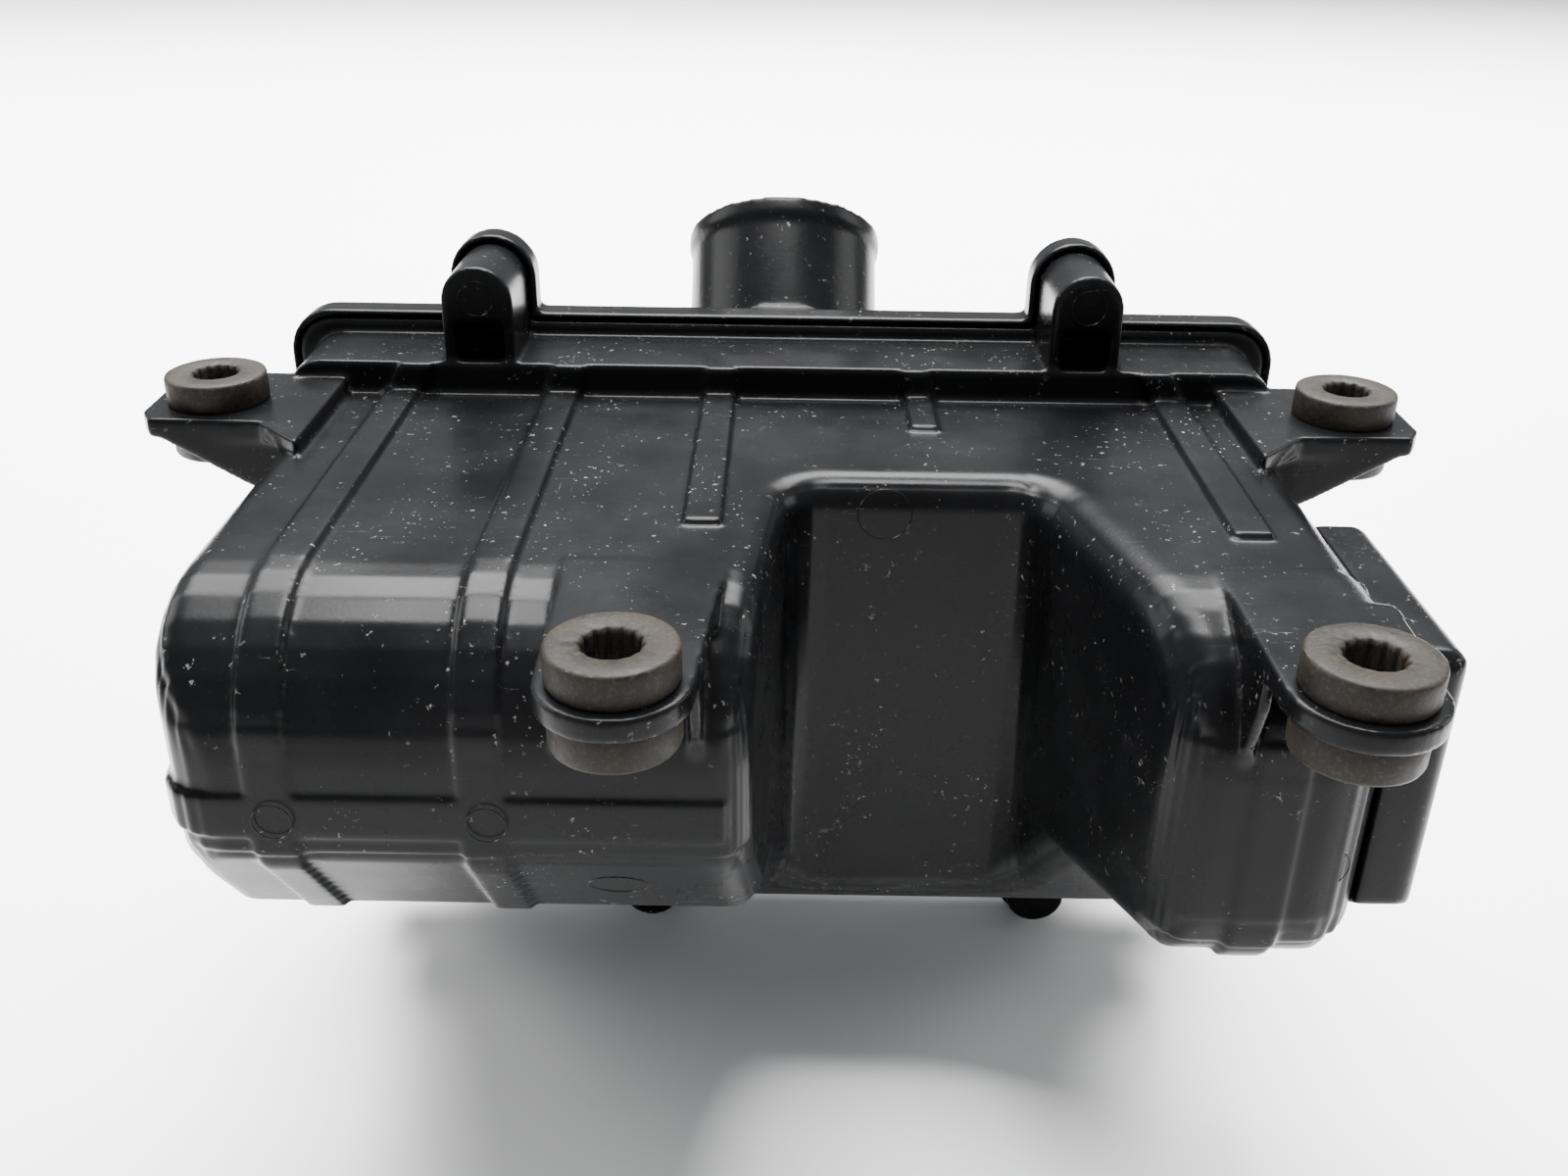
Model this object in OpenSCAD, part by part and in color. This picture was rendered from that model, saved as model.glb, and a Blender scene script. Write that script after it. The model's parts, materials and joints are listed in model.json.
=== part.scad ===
// Air cleaner box with four rubber mounts, a screwed cover and a flat filter element.
// X runs to the right, Y from the front towards the cover, Z up along the mounting bolts.
// The origin is midway between the two rear mounting holes, on the grommets' top faces.

/* [Case] */
// Width of the case body
body_w = 239; // [236:1:240]
// Moulded wall thickness
wall = 2.5; // [2:0.1:2.8]
// Depth of the case top below the rear grommets' top faces
top_drop = 11; // [11:0.5:12]
// Distance from the rear mounts forward to the front face
front_reach = 111; // [109:0.5:111]
// Radius of the bend from the top face to the front face
bend_r = 29; // [24:1:30]
// Distance from the rear mounts back to the shoulder where the neck starts
neck_y = 17; // [17:0.5:18]
// Height that the stiffening straps stand proud
strap_h = 1.5; // [1:0.1:1.8]

/* [Recess] */
// Left side of the recess at its floor
recess_left = 1.5; // [0:0.5:3]
// Right side of the recess at its floor
recess_right = 61.5; // [58:0.5:63]
// How far the recess floor lies in front of the rear mounts
recess_depth_y = 37; // [34:0.5:40]

/* [Flange and cover] */
// Half width of the case flange
flange_half_w = 130.8; // [130.5:0.1:131.2]
// Half height of the case flange
flange_half_h = 88.2; // [88:0.1:88.6]
// Plane where the case and the cover meet
mate_y = 44; // [44:0.5:45]
// Thickness of the cover's rim plate
rim_t = 6; // [6:0.5:7]
// Depth of the cover's dome behind the rim plate
dome_depth = 50; // [49:0.5:51]

/* [Outlet] */
// Outer radius of the outlet tube
tube_r = 26.8; // [26:0.1:27]
// Inner radius of the outlet tube
tube_bore_r = 24.3; // [23:0.1:24.5]
// Height of the hose bead above the tube
bead_h = 1; // [0.6:0.1:1.5]
// Angle of the outlet tube above the horizontal
tube_tilt = 50; // [48:0.5:52]

/* [Mounts] */
// Half the distance between the rear mounts
rear_half = 138.4; // [138:0.1:139]
// Left front mount, to the right of the middle plane
front_left_x = -27.8; // [-29:0.1:-27]
// Right front mount, to the right of the middle plane
front_right_x = 102.6; // [102:0.1:103]
// Distance from the rear mounts forward to the front mounts
front_mount_y = 126.4; // [126:0.1:127]
// Outer radius of a grommet
grommet_r = 12; // [11.5:0.1:12.5]
// Radius of a grommet's hole
grommet_hole_r = 5.15; // [4.5:0.05:6]

/* [Fasteners] */
// Radius of a cover screw's shank
screw_r = 2.5; // [2:0.1:2.7]
// Half the distance between the upper cover screws
upper_screw_x = 77; // [76:0.5:78]
// Left lower cover screw, to the right of the middle plane
lower_left_x = -39.5; // [-42:0.5:-36]
// Right lower cover screw, to the right of the middle plane
lower_right_x = 83.5; // [80:0.5:86]

/* [Filter] */
// Distance between neighbouring pleats
pleat_pitch = 6; // [5:0.5:8]
// Thickness of the folded paper
paper_t = 0.5; // [0.4:0.05:0.6]

/* [Hidden] */
$fn = 64;
eps = 0.01;
top_z = -top_drop;
front_y = -front_reach;
recess_y = -recess_depth_y;
half_w = body_w / 2;
mid_z = -86.9;                     // middle height of the flange
chin_z = -61.5;                    // lower edge of the left front face
chin_end = [-87, -92];             // where the left chin meets the bottom
keel = [[-104, -87], [-109, -81.5], [-111, -74]];  // right lobe's lower front
// Rear wall, sloping bottom and the chamfer under the recess, shared by both lobes
tail = [[neck_y + eps, top_z], [neck_y + eps, -158.3], [-30, -133.5], [-37, -125.5], [-61, -97]];
lobe_split_x = 30;                 // plane between the left and the right side profile
neck_half_w = flange_half_w - 3.8;
neck_half_h = flange_half_h - 3.8;
flange_y = mate_y - 3;
flange_corner_r = 9.7;
lip_t = 1.8;                       // wall of the cover's skirt
lip_gap = 0.5;                     // clearance between the skirt and the case flange
lip_y = mate_y - 3;
boss_r = 9;
boss_y = [17.5, 34];               // front faces of the upper and the lower screw bosses
boss_rise = [13, 10.7];            // screws above the flange's zero line, upper and lower
boss_ledge = -2.5;                 // top of the neck
tongue_h = 1.2;
tongue_in = 2.3;                   // outer side of the tongue, inside the flange edge
tongue_t = 2;
groove_depth = 3;
groove_gap = 0.6;
plate_t = 5;                       // thickness of the ears round the grommets
ear_top = -7;
neck_groove = 6.9;                 // grommet's top face to its groove
seat_r = 8;                        // ear hole and grommet waist
tongue_z = top_z + 0.3;            // top faces of the front tongues
front_top = tongue_z + neck_groove + 0.1;  // top faces of the front grommets
ear_end_x = 154;
throat_z = -154;                   // lower edge of the opening from the lobes into the neck
tube_base = [0, 67.1, -18.3];
tube_len = 39;
dome_y = mate_y + rim_t;
dome_back = dome_y + dome_depth;
dome_half_w = 116;
dome_r = 16;                       // rounding of the dome's rear corners
dome_edge_r = 8;                   // rounding between the dome's slope and its rear face
frame_y0 = neck_y + wall + 0.2;
frame_y1 = mate_y - 0.3;
frame_half_w = 123.8;
frame_half_h = 81.2;
frame_bar = 11;
duct = [[-104, -75], [-104, -19.5], [-101, -16.5], [-44, -16.5], [-44, -110], [-50, -112]];
duct_w = 13;
duct_r = 5;                        // rounding of the duct's outer edges
window = [[-96, -62], [-96, -30], [-58, -30], [-58, -80]];
drain = [-60, 72];
SCREWS = [[-upper_screw_x, 1], [upper_screw_x, 1], [lower_left_x, -1], [lower_right_x, -1]];

// ---------- outlines and placing ----------

function arc(c, r, a0, a1, n = 8) =
    [for (i = [0:n]) c + r * [cos(a0 + (a1 - a0) * i / n), sin(a0 + (a1 - a0) * i / n)]];

// Moves every edge of a clockwise outline inwards by t and joins the moved edges again
function unit_normal(a, b) = let(d = (b - a) / norm(b - a)) [d[1], -d[0]];
function corner(p, q, s, t) =
    let(n1 = unit_normal(p, q), n2 = unit_normal(q, s), k = t / (1 + n1 * n2)) q + k * (n1 + n2);
function inset(pts, t) =
    let(n = len(pts)) [for (i = [0:n - 1]) corner(pts[(i + n - 1) % n], pts[i], pts[(i + 1) % n], t)];

// Side outlines as [y, z], clockwise: shoulder, heel, chin, front, bend
side_left = concat(tail, [chin_end, [front_y, chin_z]],
    arc([front_y + bend_r, top_z - bend_r], bend_r, 180, 90));
side_right = concat(tail, keel, arc([front_y + bend_r, top_z - bend_r], bend_r, 180, 90));

// Plan outline as [x, y], clockwise from the rear left, round the two lobes and the recess
plan = concat([[-half_w, neck_y + eps], [half_w, neck_y + eps]],
    arc([half_w - 12, front_y + 12], 12, 0, -90, 4),
    arc([86, front_y + 10.5], 10.5, -90, -173, 5),
    arc([recess_right - 10, recess_y - 10], 10, 0, 90, 4),
    arc([recess_left + 10, recess_y - 10], 10, 90, 180, 4),
    arc([-11.5, front_y + 7.5], 7.5, -4, -90, 4),
    arc([-half_w + 11.5, front_y + 11.5], 11.5, -90, -180, 4));

module along_y(y0, y1) translate([0, y1, 0]) rotate([90, 0, 0]) linear_extrude(y1 - y0) children();
module along_x(x0, x1) translate([x0, 0, 0]) rotate([90, 0, 90]) linear_extrude(x1 - x0) children();
module along_z(z0, z1) translate([0, 0, z0]) linear_extrude(z1 - z0) children();
module rod(x, z, y0, y1, r) translate([x, y0, z]) rotate([-90, 0, 0]) cylinder(h = y1 - y0, r = r);
module upside(dir) if (dir > 0) children(); else translate([0, 0, 2 * mid_z]) mirror([0, 0, 1]) children();

// Rounded rectangle centred on the flange
module rounded(hw, hh, r) translate([0, mid_z]) {
    square([2 * hw - 2 * r, 2 * hh], center = true);
    square([2 * hw, 2 * hh - 2 * r], center = true);
    for (sx = [-1, 1], sz = [-1, 1]) translate([sx * (hw - r), sz * (hh - r)]) circle(r);
}
module ring(hw, hh, r, t) difference() {
    rounded(hw, hh, r);
    rounded(hw - t, hh - t, max(r - t, 1));
}
function rise(dir) = dir > 0 ? boss_rise[0] : boss_rise[1];
function boss_centre(dir) = dir > 0 ? rise(dir) : 2 * mid_z - rise(dir);
module lug(x, dir, r) {
    translate([x, boss_centre(dir)]) circle(r);
    translate([x - r, boss_centre(dir) - (dir > 0 ? 20 : 0)]) square([2 * r, 20]);
}
// Outline of the case flange with its screw lugs, grown by g
module flange_outline(g) {
    rounded(flange_half_w + g, flange_half_h + g, flange_corner_r + g);
    for (s = SCREWS) lug(s[0], s[1], boss_r + g);
}

// ---------- case ----------

module lobes(t) {
    left = [-half_w - 5, lobe_split_x - t, side_left];
    right = [lobe_split_x - t - eps, half_w + 5, side_right];
    for (half = [left, right])
        intersection() {
            along_z(-200, 0) polygon(inset(plan, t));
            along_x(half[0], half[1]) polygon(inset(half[2], t));
        }
}
// A strap that follows the top face and climbs the shoulder
module top_strap(x, w, y_end) {
    lean = -x * 0.045;             // the straps lean inwards on the shoulder
    translate([x - w / 2, y_end, top_z - 1]) cube([w, neck_y - y_end, 1 + strap_h]);
    along_y(neck_y - strap_h, neck_y + strap_h) polygon([[x - w / 2, top_z - 1], [x + w / 2, top_z - 1],
        [x + w / 2 + lean, boss_ledge], [x - w / 2 + lean, boss_ledge]]);
}
// A strap that wraps a lobe's front from y_top over the bend down to its lower edge
module wrap_strap(x, w, outline, y_top) intersection() {
    along_x(x - w / 2, x + w / 2) difference() {
        polygon(inset(outline, -strap_h));
        polygon(inset(outline, wall / 2));
    }
    translate([-200, -200, -92]) cube([400, 200 + y_top, 120]);
}
// The band round the left lobe, across the wrapped straps
module band() intersection() {
    along_z(-57, -47.5) difference() {
        polygon(inset(plan, -strap_h));
        polygon(inset(plan, wall / 2));
    }
    translate([-200, -200, -100]) cube([191, 200 + neck_y - 1, 100]);
}
module rear_ear(side) {
    mirror([side < 0 ? 1 : 0, 0, 0]) difference() {
        union() {
            along_z(ear_top - plate_t, ear_top) polygon([[half_w - 8, -28], [124, -15.5], [151, -14.5],
                [ear_end_x, -9], [ear_end_x, 12], [150, 20.5], [half_w - 8, 20.5]]);
            for (y = [-15, 17]) along_y(y, y + 3)
                polygon([[half_w - 2, ear_top], [151, ear_top], [151, -10.5], [130, -23],
                    [half_w - 2, -29.5]]);
        }
        translate([rear_half, 0, -40]) cylinder(h = 60, r = seat_r);
    }
}
module front_ear(x) {
    difference() {
        union() {
            translate([x, -front_mount_y, tongue_z - plate_t]) cylinder(h = plate_t, r = 14.3);
            along_z(tongue_z - plate_t, tongue_z) polygon([[x - 14.3, -front_mount_y], [x - 15, -79],
                [x + 18, -79], [x + 14.3, -front_mount_y]]);
            for (sx = [-1, 1]) along_x(x + sx * 13.1 - 1.25, x + sx * 13.1 + 1.25)
                polygon([[-116, top_z - 2], [-100, top_z - 2], [-100, -40], [-110, -40], [-116, -22]]);
        }
        translate([x, -front_mount_y, -60]) cylinder(h = 80, r = seat_r);
        lobes(wall / 2);
    }
}
// Two legs carry the round boss, with an open pocket between them
module screw_boss(x, dir) upside(dir) {
    z = rise(dir);
    y = dir > 0 ? boss_y[0] : boss_y[1];
    difference() {
        union() {
            rod(x, z, y, mate_y, boss_r);
            along_y(y, mate_y) translate([x - boss_r, boss_ledge - 1])
                square([2 * boss_r, z - boss_ledge + 1]);
        }
        rod(x, z, mate_y - 8.5, mate_y + 1, 3.6);
        translate([x - 6, y - 1, boss_ledge]) cube([12, flange_y - y + 1, z - boss_ledge - 5.5]);
    }
}
module case() color([0.11, 0.115, 0.125]) difference() {
    union() {
        lobes(0);
        along_y(neck_y, mate_y) rounded(neck_half_w, neck_half_h, 9);
        along_y(flange_y, mate_y) rounded(flange_half_w, flange_half_h, flange_corner_r);
        along_y(mate_y - eps, mate_y + tongue_h)
            ring(flange_half_w - tongue_in, flange_half_h - tongue_in, 8.7, tongue_t);
        for (s = SCREWS) screw_boss(s[0], s[1]);
        for (side = [-1, 1]) rear_ear(side);
        for (x = [front_left_x, front_right_x]) front_ear(x);
        wrap_strap(-97.5, 8.5, side_left, neck_y);
        wrap_strap(-56.5, 8.5, side_left, neck_y);
        wrap_strap(97.3, 10, side_right, -90);
        for (s = [[-97.5, 8.5, 0], [-56.5, 8.5, 0], [-16, 7.8, -62], [35.4, 6.8, -5], [99.6, 8.4, -65]])
            top_strap(s[0], s[1], s[2]);
        band();
    }
    lobes(wall);
    // the way from the lobes through the neck's front wall to the filter
    translate([wall - half_w, neck_y - wall - 1, throat_z])
        cube([2 * (half_w - wall), 2 * wall + 2, top_z - wall - throat_z]);
    along_y(neck_y + wall, mate_y + 5) rounded(neck_half_w - wall, neck_half_h - wall, 6.5);
    along_x(half_w - 2 * wall, half_w + 1) polygon(window);
}

// ---------- cover ----------

// Side outline of the dome as [y, z], clockwise
dome_top = -4;
dome_edge_z = dome_top - (dome_edge_r + cos(tube_tilt) * (dome_depth - dome_edge_r)) / sin(tube_tilt);
dome = concat([[dome_y - rim_t, dome_top], [dome_y, dome_top]],
    arc([dome_back - dome_edge_r, dome_edge_z], dome_edge_r, tube_tilt, 0, 5),
    [[dome_back, -138], [dome_back - 8, -150], [dome_y, -168], [dome_y - rim_t, -168]]);
module dome_solid(t) intersection() {
    along_x(-dome_half_w + t, dome_half_w - t) polygon(inset(dome, t));
    along_z(-200, 10) union() {
        translate([-dome_half_w + t, dome_y - 9]) square([2 * (dome_half_w - t), dome_depth + 9 - dome_r]);
        translate([-dome_half_w + dome_r, dome_y - 9])
            square([2 * (dome_half_w - dome_r), dome_depth + 9 - t]);
        for (sx = [-1, 1]) translate([sx * (dome_half_w - dome_r), dome_back - dome_r]) circle(dome_r - t);
    }
}
module on_tube() translate(tube_base) rotate([tube_tilt - 90, 0, 0]) children();
module cover() color([0.12, 0.12, 0.125]) difference() {
    union() {
        along_y(mate_y, dome_y) flange_outline(lip_gap + lip_t);
        along_y(lip_y, mate_y + eps) difference() {
            flange_outline(lip_gap + lip_t);
            flange_outline(lip_gap);
        }
        dome_solid(0);
        on_tube() {
            translate([0, 0, -2]) cylinder(h = tube_len + 2, r = tube_r);
            translate([0, 0, tube_len - 6.5]) cylinder(h = 2, r1 = tube_r, r2 = tube_r + bead_h);
            translate([0, 0, tube_len - 4.5]) cylinder(h = 4.5, r = tube_r + bead_h);
        }
        translate([drain[0], drain[1], -178]) cylinder(h = 19, r = 6);
    }
    dome_solid(wall);
    along_y(mate_y - 1, dome_y + 1) rounded(dome_half_w - wall, frame_half_h - 4, 8);
    translate([drain[0], drain[1], -180]) cylinder(h = 40, r = 3.5);
    along_y(mate_y - 5, mate_y + groove_depth)
        ring(flange_half_w - tongue_in + groove_gap, flange_half_h - tongue_in + groove_gap, 9.3,
             tongue_t + 2 * groove_gap);
    on_tube() translate([0, 0, -6]) cylinder(h = tube_len + 20, r = tube_bore_r);
    for (s = SCREWS) rod(s[0], boss_centre(s[1]), mate_y - 5, dome_y + 5, screw_r + 0.3);
}
module cover_seal() color([0.05, 0.05, 0.05]) along_y(mate_y + tongue_h, mate_y + groove_depth)
    ring(flange_half_w - tongue_in + groove_gap - 0.1, flange_half_h - tongue_in + groove_gap - 0.1,
         9.2, tongue_t + 2 * groove_gap - 0.2);

// ---------- filter element ----------

module filter_frame() color([0.16, 0.16, 0.17]) along_y(frame_y0, frame_y1)
    ring(frame_half_w, frame_half_h, 6, frame_bar);
pleat_half_w = frame_half_w - frame_bar - 0.1;
pleat_y0 = frame_y0 + 1.5;
pleat_y1 = frame_y1 - 4.6;
fold_dy = paper_t * norm([pleat_pitch / 2, pleat_y1 - pleat_y0]) / (pleat_pitch / 2);
pleats = floor(2 * pleat_half_w / pleat_pitch);
function fold(i, dy) = [(i - pleats) * pleat_pitch / 2, (i % 2 == 0 ? pleat_y0 : pleat_y1) + dy];
module filter_media() color([0.85, 0.72, 0.45]) along_z(mid_z - frame_half_h + frame_bar + 0.1,
    mid_z + frame_half_h - frame_bar - 0.1)
    polygon(concat([for (i = [0:2 * pleats]) fold(i, 0)], [for (i = [2 * pleats:-1:0]) fold(i, fold_dy)]));
module filter_screen() color([0.6, 0.6, 0.62]) along_y(frame_y1 - 1, frame_y1 - 0.2) difference() {
    translate([0, mid_z])
        square(2 * [frame_half_w - frame_bar - 0.1, frame_half_h - frame_bar - 0.1], center = true);
    for (i = [0:15], j = [0:9]) translate([-111 + i * 14, mid_z - 68 + j * 13.8]) square([12, 11.8]);
}

// ---------- inlet duct and drain ----------

// A square with its corner at c rounded, for the duct's outer edges
module duct_corner(c, size) translate(c) polygon(concat(
    [[-size, 0], [-duct_r, 0]], arc([-duct_r, duct_r], duct_r, -90, 0),
    [[0, size], [-size, size]]));
module inlet_duct() color([0.1, 0.1, 0.11]) difference() {
    union() {
        intersection() {
            along_x(half_w + 0.05, half_w + duct_w) polygon(duct);
            along_z(-120, 0) duct_corner([half_w + duct_w, duct[0][0]], 60);
            along_y(duct[0][0], 0) translate([0, duct[2][1]]) mirror([0, 1])
                duct_corner([half_w + duct_w, 0], 100);
        }
        along_x(half_w - wall, half_w + 1) polygon(inset(window, 0.1));
    }
    along_x(half_w - wall - 1, half_w + duct_w - 2.2) polygon(inset(window, 1.7));
    along_x(half_w + 2.2, half_w + duct_w - 2.2)
        polygon([[-101.8, -72], [-101.8, -18.7], [-40, -18.7], [-40, -108]]);
}
module drain_plug() color([0.07, 0.07, 0.07]) translate([drain[0], drain[1], -182]) {
    cylinder(h = 3.95, r = 7.5);
    cylinder(h = 14, r = 3.45);
}

// ---------- mounts and fasteners ----------

module grommet(x, y, top) color([0.2, 0.19, 0.17]) translate([x, y, top]) rotate_extrude() polygon([
    [grommet_hole_r, 0], [grommet_r - 0.8, 0], [grommet_r, -0.8], [grommet_r, -neck_groove],
    [seat_r - 0.05, -neck_groove], [seat_r - 0.05, -neck_groove - plate_t - 0.2],
    [grommet_r, -neck_groove - plate_t - 0.2], [grommet_r, -18.8], [grommet_r - 0.8, -19.6],
    [grommet_hole_r, -19.6]]);
module grommet_rear_left() grommet(-rear_half, 0, 0);
module grommet_rear_right() grommet(rear_half, 0, 0);
module grommet_front_left() grommet(front_left_x, -front_mount_y, front_top);
module grommet_front_right() grommet(front_right_x, -front_mount_y, front_top);

module screw(s) color([0.62, 0.62, 0.6]) difference() {
    union() {
        rod(s[0], boss_centre(s[1]), mate_y - 8, dome_y + 0.1, screw_r);
        rod(s[0], boss_centre(s[1]), dome_y + 0.05, dome_y + 1.3, 6);
        rod(s[0], boss_centre(s[1]), dome_y + 1.2, dome_y + 4.5, 4.4);
    }
    for (a = [0, 90]) translate([s[0], dome_y + 4, boss_centre(s[1])]) rotate([0, a, 0])
        cube([5, 4, 1.2], center = true);
}
module insert(s) color([0.72, 0.58, 0.3]) difference() {
    rod(s[0], boss_centre(s[1]), mate_y - 8.4, mate_y - 0.2, 3.55);
    rod(s[0], boss_centre(s[1]), mate_y - 9, mate_y + 1, screw_r + 0.05);
}
module screw_upper_left() screw(SCREWS[0]);
module screw_upper_right() screw(SCREWS[1]);
module screw_lower_left() screw(SCREWS[2]);
module screw_lower_right() screw(SCREWS[3]);
module insert_upper_left() insert(SCREWS[0]);
module insert_upper_right() insert(SCREWS[1]);
module insert_lower_left() insert(SCREWS[2]);
module insert_lower_right() insert(SCREWS[3]);

case();
cover();
cover_seal();
filter_frame();
filter_media();
filter_screen();
inlet_duct();
drain_plug();
grommet_rear_left();
grommet_rear_right();
grommet_front_left();
grommet_front_right();
screw_upper_left();
screw_upper_right();
screw_lower_left();
screw_lower_right();
insert_upper_left();
insert_upper_right();
insert_lower_left();
insert_lower_right();
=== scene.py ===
import json
import math
import random

import bpy
import numpy as np
from mathutils import Matrix, Vector

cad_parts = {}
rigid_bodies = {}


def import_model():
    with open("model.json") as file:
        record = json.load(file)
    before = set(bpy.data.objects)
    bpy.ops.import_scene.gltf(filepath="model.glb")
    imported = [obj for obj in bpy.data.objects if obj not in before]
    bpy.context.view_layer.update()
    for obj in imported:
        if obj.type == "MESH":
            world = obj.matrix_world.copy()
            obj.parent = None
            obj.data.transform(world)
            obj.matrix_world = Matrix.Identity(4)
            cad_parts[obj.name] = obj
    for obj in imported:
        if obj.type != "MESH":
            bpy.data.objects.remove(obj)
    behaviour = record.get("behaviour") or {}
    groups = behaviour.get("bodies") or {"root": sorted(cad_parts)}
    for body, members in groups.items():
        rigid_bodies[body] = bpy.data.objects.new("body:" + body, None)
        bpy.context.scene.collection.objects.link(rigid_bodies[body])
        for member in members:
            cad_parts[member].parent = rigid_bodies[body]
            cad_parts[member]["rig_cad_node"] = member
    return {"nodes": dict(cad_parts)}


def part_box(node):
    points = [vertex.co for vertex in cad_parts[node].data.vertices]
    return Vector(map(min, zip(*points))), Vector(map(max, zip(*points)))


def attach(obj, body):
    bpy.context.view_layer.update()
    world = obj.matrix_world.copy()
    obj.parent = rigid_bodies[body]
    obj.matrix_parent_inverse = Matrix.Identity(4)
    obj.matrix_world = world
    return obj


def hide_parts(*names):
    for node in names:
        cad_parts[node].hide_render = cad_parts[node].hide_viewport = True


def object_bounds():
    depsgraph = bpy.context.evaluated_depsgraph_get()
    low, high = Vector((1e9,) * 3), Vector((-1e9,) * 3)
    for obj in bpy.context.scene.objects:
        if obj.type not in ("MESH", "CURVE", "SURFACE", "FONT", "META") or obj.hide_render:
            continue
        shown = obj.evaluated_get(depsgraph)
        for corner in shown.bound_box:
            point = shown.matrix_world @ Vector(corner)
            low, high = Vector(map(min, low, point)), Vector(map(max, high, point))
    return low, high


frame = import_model()
FIRST_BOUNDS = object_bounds()
random.seed(7)
NODES = frame["nodes"]
MM = 0.001


# ---------- materials ----------

def material(name, colour, rough, build):
    """A material that starts plain, and gets its detail from build(tree, shader)."""
    m = bpy.data.materials.new(name)
    m.use_nodes = True
    t = m.node_tree
    t.nodes.clear()
    out = t.nodes.new("ShaderNodeOutputMaterial")
    p = t.nodes.new("ShaderNodeBsdfPrincipled")
    p.inputs["Base Color"].default_value = (*colour, 1)
    p.inputs["Roughness"].default_value = rough
    t.links.new(p.outputs[0], out.inputs[0])
    build(t, p)
    return m


def coords(t, scale=(1, 1, 1)):
    """The piece's own coordinates, multiplied by scale."""
    c = t.nodes.new("ShaderNodeTexCoord")
    v = t.nodes.new("ShaderNodeMapping")
    v.inputs["Scale"].default_value = scale
    t.links.new(c.outputs["Object"], v.inputs["Vector"])
    return v.outputs[0]


def noise(t, vec, scale, detail=4, rough=0.6):
    n = t.nodes.new("ShaderNodeTexNoise")
    n.inputs["Scale"].default_value = scale
    n.inputs["Detail"].default_value = detail
    n.inputs["Roughness"].default_value = rough
    t.links.new(vec, n.inputs["Vector"])
    return n.outputs["Fac"]


def remap(t, value, low, high, to_low=0.0, to_high=1.0):
    """Takes value from the range low to high, held there, to the range to_low to to_high."""
    r = t.nodes.new("ShaderNodeMapRange")
    for i, v in enumerate((low, high, to_low, to_high), 1):
        r.inputs[i].default_value = v
    t.links.new(value, r.inputs[0])
    return r.outputs[0]


def maths(t, operation, a, b):
    """Works on two numbers or sockets, and holds the result between 0 and 1."""
    m = t.nodes.new("ShaderNodeMath")
    m.operation = operation
    m.use_clamp = True
    for i, v in enumerate((a, b)):
        if isinstance(v, (int, float)):
            m.inputs[i].default_value = v
        else:
            t.links.new(v, m.inputs[i])
    return m.outputs[0]


def times(t, a, b):
    return maths(t, "MULTIPLY", a, b)


def plus(t, a, b):
    return maths(t, "ADD", a, b)


def mix(t, fac, a, b):
    """Colour a where fac is 0, and b where it is 1."""
    m = t.nodes.new("ShaderNodeMix")
    m.data_type = "RGBA"
    t.links.new(fac, m.inputs[0])
    for i, v in ((6, a), (7, b)):
        if isinstance(v, tuple):
            m.inputs[i].default_value = (*v, 1)
        else:
            t.links.new(v, m.inputs[i])
    return m.outputs[2]


def bump(t, p, layers):
    """Adds bump layers to the shader, each a height, a strength and a distance in metres."""
    last = None
    for height, strength, distance in layers:
        b = t.nodes.new("ShaderNodeBump")
        b.inputs["Strength"].default_value = strength
        b.inputs["Distance"].default_value = distance
        t.links.new(height, b.inputs["Height"])
        if last:
            t.links.new(last, b.inputs["Normal"])
        last = b.outputs[0]
    t.links.new(last, p.inputs["Normal"])


def edges(t, low, high):
    """Pointiness from low to high as 0 to 1. It is over 0.5 on an outer edge, and under it in a corner."""
    g = t.nodes.new("ShaderNodeNewGeometry")
    return remap(t, g.outputs["Pointiness"], low, high)


def plastic(wear):
    """Black moulded plastic with dust, scratches, and paler worn edges."""
    def build(t, p):
        p.inputs["Specular IOR Level"].default_value = 0.1
        v = coords(t)
        blotch = remap(t, noise(t, v, 28, 5), 0.35, 0.7)
        fine = noise(t, v, 900, 3)
        specks = remap(t, noise(t, v, 560, 2, 0.8), 0.655, 0.71)
        patch = remap(t, noise(t, v, 60, 4), 0.45, 0.68)
        dust = times(t, specks, patch)
        scratch = remap(t, noise(t, coords(t, (14, 260, 60)), 3.5, 6, 0.75), 0.655, 0.68)
        cross_scratch = remap(t, noise(t, coords(t, (240, 12, 90)), 3.1, 6, 0.75), 0.665, 0.69)
        lines = times(t, plus(t, scratch, cross_scratch), patch)
        rubbed = remap(t, noise(t, v, 45, 6), 0.46, 0.62)
        worn = times(t, edges(t, 0.56, 0.68), rubbed)
        grime = remap(t, noise(t, v, 260, 5, 0.8), 0.5, 0.66)
        corner = times(t, edges(t, 0.485, 0.44), grime)
        base = mix(t, blotch, (0.0026, 0.0027, 0.0030), (0.0050, 0.0052, 0.0057))
        base = mix(t, times(t, lines, 0.35), base, (0.16, 0.16, 0.16))
        base = mix(t, times(t, worn, wear), base, (0.26, 0.26, 0.25))
        base = mix(t, times(t, corner, 0.35), base, (0.20, 0.18, 0.15))
        base = mix(t, times(t, dust, 0.5), base, (0.34, 0.33, 0.30))
        t.links.new(base, p.inputs["Base Color"])
        rough = plus(t, remap(t, blotch, 0, 1, 0.23, 0.33), times(t, lines, 0.2))
        rough = plus(t, rough, times(t, dust, 0.3))
        t.links.new(rough, p.inputs["Roughness"])
        bump(t, p, [(noise(t, v, 16, 2), 0.22, 0.003), (fine, 0.12, 0.0002)])
    return build


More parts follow.
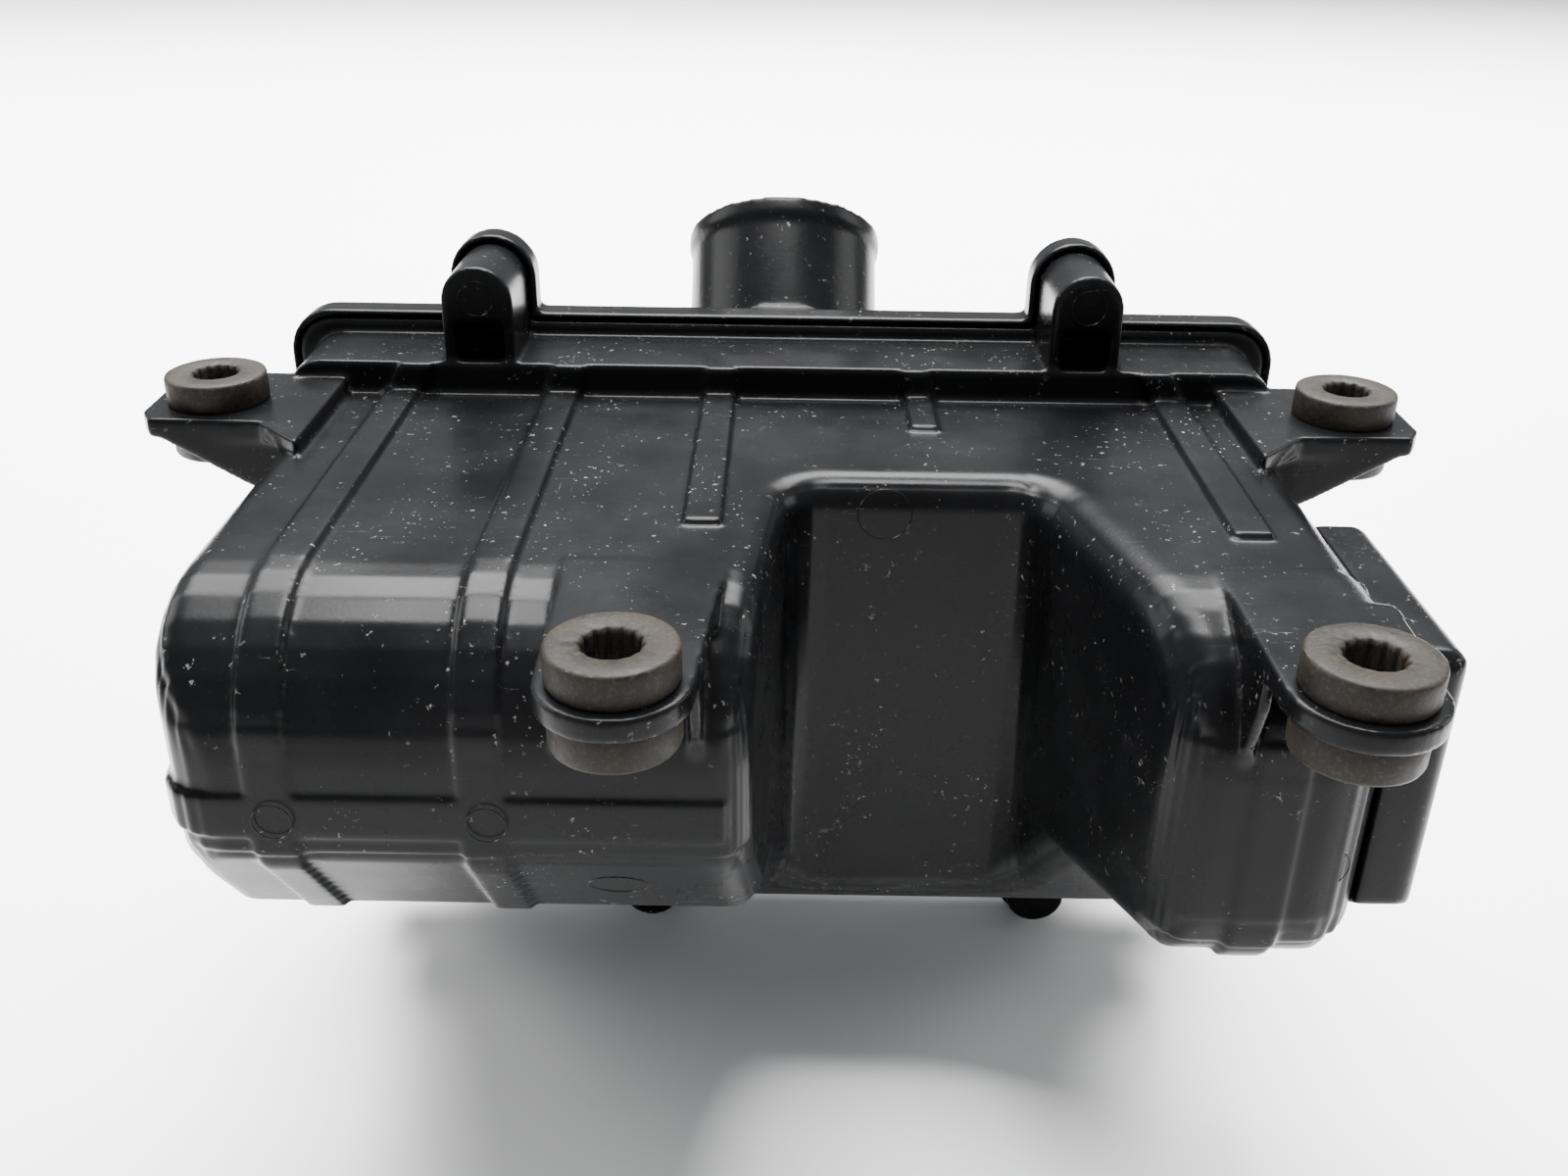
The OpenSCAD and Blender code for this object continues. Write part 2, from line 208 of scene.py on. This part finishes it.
def rubber(dusty):
    """Black rubber, browned by dirt where dusty is high."""
    def build(t, p):
        p.inputs["Specular IOR Level"].default_value = 0.14
        v = coords(t)
        cloud = remap(t, noise(t, v, 140, 6, 0.7), 0.36, 0.66)
        grit = remap(t, noise(t, v, 1100, 3, 0.8), 0.52, 0.68)
        base = mix(t, times(t, cloud, dusty), (0.008, 0.0077, 0.0073), (0.024, 0.0185, 0.0125))
        base = mix(t, times(t, grit, dusty * 0.6), base, (0.06, 0.048, 0.033))
        t.links.new(base, p.inputs["Base Color"])
        t.links.new(remap(t, cloud, 0, 1, 0.42, 0.7), p.inputs["Roughness"])
        bump(t, p, [(noise(t, v, 700, 4), 0.3, 0.0003)])
    return build


def metal(scale_x):
    """Metal with a fine grain, finer along X where scale_x is higher."""
    def build(t, p):
        p.inputs["Metallic"].default_value = 1
        grain = noise(t, coords(t, (scale_x, 40, 900)), 6, 4)
        t.links.new(remap(t, grain, 0.3, 0.7, 0.28, 0.5), p.inputs["Roughness"])
        bump(t, p, [(grain, 0.15, 0.0002)])
    return build


def paper(t, p):
    """Yellowish filter paper with fibres."""
    v = coords(t)
    fibre = noise(t, v, 800, 5, 0.7)
    base = mix(t, remap(t, fibre, 0.35, 0.7), (0.62, 0.5, 0.28), (0.76, 0.66, 0.42))
    t.links.new(base, p.inputs["Base Color"])
    bump(t, p, [(fibre, 0.3, 0.0003)])


PLASTIC = material("black_plastic", (0.02, 0.02, 0.022), 0.36, plastic(0.5))
MOUNT = material("mount_rubber", (0.08, 0.07, 0.06), 0.75, rubber(0.75))
SOFT = material("soft_rubber", (0.03, 0.03, 0.03), 0.7, rubber(0.12))
PAPER = material("filter_paper", (0.7, 0.6, 0.36), 0.9, paper)
STEEL = material("zinc_steel", (0.6, 0.59, 0.56), 0.35, metal(900))
BRASS = material("brass_insert", (0.7, 0.5, 0.22), 0.35, metal(300))
MESH = material("steel_mesh", (0.5, 0.5, 0.5), 0.4, metal(60))


def dress(obj, m):
    """Gives a piece its material."""
    obj.data.materials.clear()
    obj.data.materials.append(m)


for node, part in NODES.items():
    if node.startswith("screw"):
        dress(part, STEEL)
    elif node.startswith("insert"):
        dress(part, BRASS)
    elif node == "filter_media":
        dress(part, PAPER)
    elif node == "filter_screen":
        dress(part, MESH)
    elif node in ("cover_seal", "drain_plug", "filter_frame"):
        dress(part, SOFT)


# ---------- moulded shells with rounded edges ----------

def bend(cx, cy, radius, start, end, steps=6):
    """An arc about cx, cy, from one angle to another in degrees."""
    turns = [math.radians(start + (end - start) * i / steps) for i in range(steps + 1)]
    return [(cx + radius * math.cos(a), cy + radius * math.sin(a)) for a in turns]


# Outlines of the walls that get larger radii, clockwise and in millimetres: x, y for a plan, y, z for a side
LOBE_PLAN = ([(-119.5, 30), (119.5, 30)]
             + bend(107.5, -99, 12, 0, -90) + bend(86, -100.5, 10.5, -90, -173)
             + bend(51.5, -47, 10, 0, 90) + bend(11.5, -47, 10, 90, 180)
             + bend(-11.5, -103.5, 7.5, -4, -90) + bend(-108, -99.5, 11.5, -90, -180))
LOBE_BOTTOM = [(40, -11), (40, -170.5), (17, -158.3), (-30, -133.5), (-37, -125.5), (-61, -97)]
LOBE_TOP = bend(-82, -40, 29, 180, 90)
LEFT_SIDE = LOBE_BOTTOM + [(-87, -92), (-111, -61.5)] + LOBE_TOP
RIGHT_SIDE = LOBE_BOTTOM + [(-104, -87), (-109, -81.5), (-111, -74)] + LOBE_TOP
DOME_PLAN = [(-116, 0)] + bend(-100, 84, 16, 180, 90) + bend(100, 84, 16, 90, 0) + [(116, 0)]
DOME_SIDE = ([(20, -4), (50, -4)] + bend(92, -49.7, 8, 50, 0)
             + [(100, -138), (92, -150), (50, -168), (20, -168)])
# Depths, in millimetres: fillets leave out points below the first, and take in points from the second on
OUTSIDE = (-3.0, -1.9)
TINY = 1e-6


def depth(points, outline):
    """Distance inside a clockwise outline and the inward direction, for each point."""
    starts = np.array(outline, float)
    ends = np.roll(starts, -1, axis=0)
    best = np.full(len(points), np.inf)
    sign = np.ones(len(points))
    way = np.zeros((len(points), 2))
    for start, end in zip(starts, ends):
        line = end - start
        size = float(line @ line)
        if size < TINY:
            continue
        t = np.clip(((points - start) @ line) / size, 0, 1)
        off = points - (start + t[:, None] * line)
        dist = np.hypot(off[:, 0], off[:, 1])
        side = line[1] * off[:, 0] - line[0] * off[:, 1]
        near = dist < best - TINY
        best[near] = dist[near]
        sign[near] = np.where(side[near] >= 0, 1, -1)
        way[near] = off[near]
    inward = way / np.maximum(best, TINY)[:, None] * sign[:, None]
    return best * sign, inward


def fade(v, low, high):
    """0 up to low, 1 from high on, and smooth between."""
    t = np.clip((v - low) / (high - low), 0, 1)
    return t * t * (3 - 2 * t)


def points_of(mesh):
    """The mesh's points in millimetres."""
    co = np.zeros(len(mesh.vertices) * 3)
    mesh.vertices.foreach_get("co", co)
    return co.reshape(-1, 3) / MM


def fillet(mesh, co, use, plan, side, radius):
    """Rounds the edge where two walls meet.

    Each wall is a depth and an inward direction for every used point. Where both walls face along Y
    there is no edge between them, and points that stand well outside an outline stay where they are.
    """
    c = co[use]
    (d, d_in), (e, e_in) = plan, side
    both_along_y = d_in[:, 1] * e_in[:, 0]
    radius = radius * (1 - both_along_y ** 2)
    near = fade(np.minimum(d, e), *OUTSIDE)
    a, b = radius - d, radius - e
    zone = (a > 0) & (b > 0)
    a, b = np.where(zone, a, 1.0), np.where(zone, b, 0.0)
    k = np.maximum(a, b) / np.hypot(a, b) - 1
    push_d, push_e = -a * k * zone * near, -b * k * zone * near
    c[:, 0] += d_in[:, 0] * push_d
    c[:, 1] += d_in[:, 1] * push_d + e_in[:, 0] * push_e
    c[:, 2] += e_in[:, 1] * push_e
    co[use] = c
    mesh.vertices.foreach_set("co", (co * MM).reshape(-1))
    mesh.update()


def round_lobes(mesh):
    """Gives the lobes and the recess their large moulded radii."""
    body_end, body_half_width, fade_in = 14, 124, 12
    left_end, recess_middle, right_lobe = -90, 30, 56
    left_radius, middle_radius, right_radius = 6.0, 7.5, 9.0
    co = points_of(mesh)
    use = np.where((co[:, 1] < body_end) & (np.abs(co[:, 0]) < body_half_width))[0]
    c = co[use]
    left_depth, left_in = depth(c[:, 1:], LEFT_SIDE)
    right_depth, right_in = depth(c[:, 1:], RIGHT_SIDE)
    on_left = c[:, 0] < recess_middle
    side = (np.where(on_left, left_depth, right_depth), np.where(on_left[:, None], left_in, right_in))
    radius = np.where(c[:, 0] < left_end, left_radius, middle_radius)
    radius = np.where(c[:, 0] > right_lobe, right_radius, radius)
    radius = radius * fade(body_end - c[:, 1], 0, fade_in)
    fillet(mesh, co, use, depth(c[:, :2], LOBE_PLAN), side, radius)


def round_dome(mesh):
    """Rounds the cover's dome where its slope and its bottom meet its sides."""
    start, full, radius = 51, 58, 8.0
    co = points_of(mesh)
    use = np.where(co[:, 1] > start)[0]
    c = co[use]
    plan, side = depth(c[:, :2], DOME_PLAN), depth(c[:, 1:], DOME_SIDE)
    fillet(mesh, co, use, plan, side, radius * fade(c[:, 1], start, full))


def smooth_shade(mesh):
    mesh.polygons.foreach_set("use_smooth", [True] * len(mesh.polygons))


def apply_modifiers(obj):
    deps = bpy.context.evaluated_depsgraph_get()
    obj.data = bpy.data.meshes.new_from_object(obj.evaluated_get(deps))
    obj.modifiers.clear()


def shell(node, name, body, voxel, passes, keep, reshape=None):
    """A softened copy of a CAD part: remeshed, smoothed, and thinned to the share keep of its faces."""
    obj = bpy.data.objects.new(name, NODES[node].data.copy())
    bpy.context.scene.collection.objects.link(obj)
    r = obj.modifiers.new("round", "REMESH")
    r.mode = "VOXEL"
    r.voxel_size = voxel * MM
    apply_modifiers(obj)
    if reshape:
        reshape(obj.data)
    s = obj.modifiers.new("soften", "SMOOTH")
    s.factor = 0.5
    s.iterations = passes
    d = obj.modifiers.new("thin", "DECIMATE")
    d.ratio = keep
    apply_modifiers(obj)
    smooth_shade(obj.data)
    dress(obj, PLASTIC)
    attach(obj, body)
    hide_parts(node)


# Voxel size in millimetres and smoothing passes
CASE_DETAIL = ((0.64, 10))
COVER_DETAIL = ((0.8, 7))
DUCT_DETAIL = ((0.7, 16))
shell("case", "case_shell", "case_body", *CASE_DETAIL, 0.3, round_lobes)
shell("cover", "cover_shell", "cover_body", *COVER_DETAIL, 0.4, round_dome)
shell("inlet_duct", "duct_shell", "case_body", *DUCT_DETAIL, 0.5)


# ---------- rubber mounts with serrated holes ----------

BORE_R = 5.15
MOUNT_R = 12
GROOVE_R = 7.95
# Radius, height below the top and share of the serration, from the bore's top out and round to its foot
MOUNT_SECTION = [
    (BORE_R, -1.3, 1), (BORE_R + 0.2, -0.5, 0.8), (BORE_R + 0.9, -0.02, 0.2),
    (9.4, 0, 0), (11.2, -0.05, 0), (11.8, -0.3, 0),
    (MOUNT_R, -0.9, 0), (MOUNT_R, -6.2, 0), (11.7, -6.9, 0), (8.3, -6.9, 0),
    (GROOVE_R, -7.1, 0), (GROOVE_R, -11.9, 0), (8.3, -12.1, 0), (11.7, -12.1, 0),
    (MOUNT_R, -12.8, 0), (MOUNT_R, -18.6, 0), (11.7, -19.3, 0), (11.0, -19.6, 0),
    (BORE_R + 0.9, -19.6, 0.2), (BORE_R, -18.6, 1)]
TEETH = 14
TOOTH_DEPTH = 0.5
WOBBLE = 0.02
AROUND = 144


def mount(node):
    """A rubber mount in place of a plain CAD one, with rounded edges and a serrated hole."""
    low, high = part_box(node)
    x, y = (low.x + high.x) / 2 / MM, (low.y + high.y) / 2 / MM
    top = high.z / MM
    verts, faces = [], []
    for radius, z, share in MOUNT_SECTION:
        for k in range(AROUND):
            a = 2 * math.pi * k / AROUND
            tooth = share * TOOTH_DEPTH * max(0.0, math.cos(TEETH * a))
            r = radius + tooth + random.uniform(-WOBBLE, WOBBLE)
            verts.append(Vector((x + r * math.cos(a), y + r * math.sin(a), top + z)) * MM)
    rings = len(MOUNT_SECTION)
    for i in range(rings):
        for k in range(AROUND):
            j, n = (i + 1) % rings, (k + 1) % AROUND
            faces.append((i * AROUND + k, j * AROUND + k, j * AROUND + n, i * AROUND + n))
    name = node.replace("grommet", "mount")
    mesh = bpy.data.meshes.new(name)
    mesh.from_pydata(verts, [], faces)
    mesh.update()
    smooth_shade(mesh)
    obj = bpy.data.objects.new(name, mesh)
    bpy.context.scene.collection.objects.link(obj)
    crease = obj.modifiers.new("crease", "EDGE_SPLIT")
    crease.split_angle = math.radians(50)
    dress(obj, MOUNT)
    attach(obj, "case_body")
    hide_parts(node)


for end in ("rear", "front"):
    for hand in ("left", "right"):
        mount("grommet_%s_%s" % (end, hand))


# ---------- ejector marks: fine raised rings on the moulded faces ----------

RING_R = 0.13
FRONT = (0, -1, 0)


def pin_mark(name, centre, normal, radius):
    """A thin ring on a face of the case, at centre and facing along normal."""
    bpy.ops.mesh.primitive_torus_add(major_radius=radius * MM, minor_radius=RING_R * MM,
                                     major_segments=64, minor_segments=8)
    ring = bpy.context.object
    ring.name = name
    turn = Vector((0, 0, 1)).rotation_difference(Vector(normal))
    ring.matrix_world = Matrix.Translation(Vector(centre) * MM) @ turn.to_matrix().to_4x4()
    smooth_shade(ring.data)
    dress(ring, PLASTIC)
    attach(ring, "case_body")


pin_mark("pin_recess", (24.3, -37.02, -19), FRONT, 6.2)
pin_mark("pin_right_lobe", (110.2, -110.0, -61.6), (0.2, -1, 0), 4.3)
pin_mark("pin_band_left", (-97, -112.5, -52.5), FRONT, 3.9)
pin_mark("pin_band_mid", (-55.5, -112.5, -52.5), FRONT, 3.9)
pin_mark("pin_chin", (-32, -99, -76.8), (0, -0.785, -0.62), 6.2)
for i, boss_x in enumerate((-77, 77)):
    pin_mark("pin_boss_%d" % i, (boss_x, 17.45, 14), FRONT, 4.35)


# ---------- floor, light, camera ----------

FLOOR_PAINT = (0.9, 0.9, 0.9)
FLOOR_SHADE = tuple(c * 0.97 for c in FLOOR_PAINT)


def floor_paint(t, p):
    """Pale paint in two close shades."""
    cloud = remap(t, noise(t, coords(t), 3, 3), 0.3, 0.7)
    t.links.new(mix(t, cloud, FLOOR_PAINT, FLOOR_SHADE), p.inputs["Base Color"])


floor_z = min(FIRST_BOUNDS[0][2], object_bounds()[0][2])
bpy.ops.mesh.primitive_plane_add(size=30, location=(0, 8, floor_z))
floor = bpy.context.object
floor.name = "floor"
floor.data.materials.append(material("floor_paint", FLOOR_PAINT, 0.7, floor_paint))


def softbox(name, at, look, width, height, watts, spread=180):
    """A rectangular light at one point that faces another."""
    data = bpy.data.lights.new(name, "AREA")
    data.shape = "RECTANGLE"
    data.size, data.size_y, data.energy = width, height, watts
    data.spread = math.radians(spread)
    o = bpy.data.objects.new(name, data)
    o.location = at
    o.rotation_euler = (Vector(look) - Vector(at)).to_track_quat("-Z", "Y").to_euler()
    bpy.context.scene.collection.objects.link(o)


softbox("top_light", (-0.1, 0.0, 1.2), (0, 0.3, -0.1), 0.8, 0.4, 13, 80)
softbox("back_light", (0.0, 1.7, 2.3), (0, 1.3, -0.2), 4.0, 1.6, 330, 90)
softbox("side_light", (-1.6, 0.4, 0.8), (0, 0.2, -0.1), 0.9, 0.9, 16)
softbox("right_light", (1.7, 0.4, 0.7), (0, 0.2, -0.1), 0.8, 0.8, 10)

world = bpy.data.worlds.new("studio")
world.use_nodes = True
sky = world.node_tree.nodes["Background"]
sky.inputs["Color"].default_value = (0.95, 0.97, 1.0, 1)
sky.inputs["Strength"].default_value = 0.55
bpy.context.scene.world = world

SENSOR = 36
IMAGE_WIDTH = 1600
FOCAL_LENGTH = 1530
CAMERA_AT = (0.0015, -0.350, 0.1206)
PITCH, ROLL = math.radians(26.9), math.radians(0.89)

cam_data = bpy.data.cameras.new("camera")
cam_data.sensor_width = SENSOR
cam_data.lens = SENSOR * FOCAL_LENGTH / IMAGE_WIDTH
cam_data.clip_start = 0.01
cam = bpy.data.objects.new("camera", cam_data)
right = Vector((math.cos(ROLL), math.sin(ROLL) * math.sin(PITCH), math.sin(ROLL) * math.cos(PITCH)))
back = Vector((0, -math.cos(PITCH), math.sin(PITCH)))
axes = Matrix((right, back.cross(right), back)).transposed()
cam.matrix_world = Matrix.Translation(CAMERA_AT) @ axes.to_4x4()
bpy.context.scene.collection.objects.link(cam)
bpy.context.scene.camera = cam
